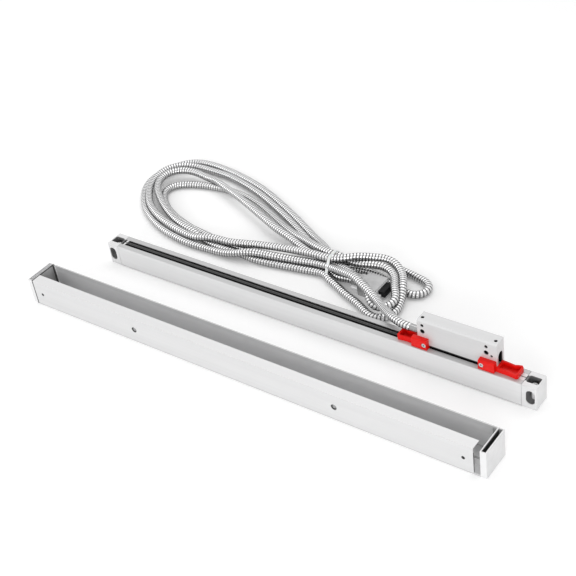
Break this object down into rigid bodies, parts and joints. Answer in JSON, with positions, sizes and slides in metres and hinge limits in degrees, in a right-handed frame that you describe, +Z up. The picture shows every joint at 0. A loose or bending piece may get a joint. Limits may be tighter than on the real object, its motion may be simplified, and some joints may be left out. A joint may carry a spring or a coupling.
{
  "type": "linear glass scale",
  "caption": "Enclosed linear encoder: slotted body with sealing lips, reading head that slides along it, armoured cable with a plug, and a separate dust cover.",
  "frame": {"origin": "on the floor, in the middle of the box round the scale and its dust cover standing side by side", "axes": "+X along the scale towards the end where the reading head stands, +Y from the dust cover towards the scale, +Z up"},
  "size_m": [0.731, 0.3736, 0.068],
  "materials": {
    "anodised_aluminium": "satin anodised",
    "cap_metal": "bead blasted",
    "steel": "machined",
    "dark_screw": "blackened",
    "bush_steel": "polished",
    "black_rubber": "satin",
    "scale_glass": "polished",
    "board_green": "solder mask",
    "carriage_zinc": "machined zinc casting",
    "red_plastic": "moulded",
    "hose_steel": "wound stainless strip",
    "tie_nylon": "moulded nylon",
    "hood_metal": "metallised",
    "insulator_black": "moulded",
    "contact_gold": "gold plated"
  },
  "bodies": {
    "scale_body": {"housing": "anodised_aluminium", "end_cap_left": "cap_metal", "end_cap_right": "cap_metal", "cap_screws": "dark_screw", "cap_gaskets": "black_rubber", "mounting_bushes": "bush_steel", "lip_seal_front": "black_rubber", "lip_seal_rear": "black_rubber", "lip_clamp_left": "cap_metal", "lip_clamp_right": "cap_metal", "glass_scale": "scale_glass", "glass_wedge_strip": "black_rubber", "end_buffers": "black_rubber"},
    "reading_head": {"head_body": "anodised_aluminium", "head_base_plate": "steel", "head_base_screws": "dark_screw", "head_circuit_board": "board_green", "head_set_screw": "dark_screw", "coupling_blade": "steel", "blade_rivets": "steel", "carriage_frame": "carriage_zinc", "roller_axles": "bush_steel", "coupling_spring": "steel", "lamp_board": "board_green", "detector_board": "board_green", "reticle": "scale_glass", "bracket_left": "red_plastic", "bracket_right": "red_plastic", "bracket_screws": "bush_steel", "cable_ferrule": "bush_steel", "cable_lead": "hose_steel", "cable_hank": "hose_steel", "cable_tail": "hose_steel", "cable_tie": "tie_nylon", "plug_hood_upper": "hood_metal", "plug_hood_lower": "hood_metal", "plug_shell": "bush_steel", "plug_insert": "insulator_black", "plug_pins": "contact_gold"},
    "face_roller_left": {"face_roller_left": "bush_steel"},
    "face_roller_middle": {"face_roller_middle": "bush_steel"},
    "face_roller_right": {"face_roller_right": "bush_steel"},
    "edge_roller_left": {"edge_roller_left": "bush_steel"},
    "edge_roller_right": {"edge_roller_right": "bush_steel"},
    "dust_cover": {"cover_channel": "anodised_aluminium", "cover_end_left": "cap_metal", "cover_end_right": "cap_metal", "cover_screws": "dark_screw"},
    "thumbscrew_left": {"thumbscrew_left": "bush_steel"},
    "thumbscrew_right": {"thumbscrew_right": "bush_steel"}
  },
  "joints": [
    {"name": "head_travel", "type": "slide", "parent": "scale_body", "child": "reading_head", "axis": [1, 0, 0], "range_m": [-0.4675, 0.0325]},
    {"name": "face_roller_left_spin", "type": "hinge", "parent": "reading_head", "child": "face_roller_left", "pos_m": [0.2075, 0.05825, 0.0097], "axis": [0, 0, 1], "continuous": true},
    {"name": "face_roller_middle_spin", "type": "hinge", "parent": "reading_head", "child": "face_roller_middle", "pos_m": [0.2205, 0.05825, 0.0145], "axis": [0, 0, 1], "continuous": true},
    {"name": "face_roller_right_spin", "type": "hinge", "parent": "reading_head", "child": "face_roller_right", "pos_m": [0.2615, 0.05825, 0.0097], "axis": [0, 0, 1], "continuous": true},
    {"name": "edge_roller_left_spin", "type": "hinge", "parent": "reading_head", "child": "edge_roller_left", "pos_m": [0.2145, 0.05445, 0.019], "axis": [0, 1, 0], "continuous": true},
    {"name": "edge_roller_right_spin", "type": "hinge", "parent": "reading_head", "child": "edge_roller_right", "pos_m": [0.2545, 0.05445, 0.019], "axis": [0, 1, 0], "continuous": true},
    {"name": "cover_lift", "type": "slide", "parent": "scale_body", "child": "dust_cover", "axis": [0, 0, 1], "range_m": [0, 0.1]},
    {"name": "thumbscrew_left_turn", "type": "hinge", "parent": "reading_head", "child": "thumbscrew_left", "pos_m": [0.046, 0.13645, 0.0075], "axis": [1, 0, 0], "continuous": true},
    {"name": "thumbscrew_right_turn", "type": "hinge", "parent": "reading_head", "child": "thumbscrew_right", "pos_m": [0.046, 0.16145, 0.0075], "axis": [1, 0, 0], "continuous": true}
  ],
  "couplings": [
    {"joint": "face_roller_left_spin", "follows": "head_travel", "rad_per_m": -400},
    {"joint": "face_roller_middle_spin", "follows": "head_travel", "rad_per_m": -400},
    {"joint": "face_roller_right_spin", "follows": "head_travel", "rad_per_m": -400},
    {"joint": "edge_roller_left_spin", "follows": "head_travel", "rad_per_m": 400},
    {"joint": "edge_roller_right_spin", "follows": "head_travel", "rad_per_m": 400}
  ]
}
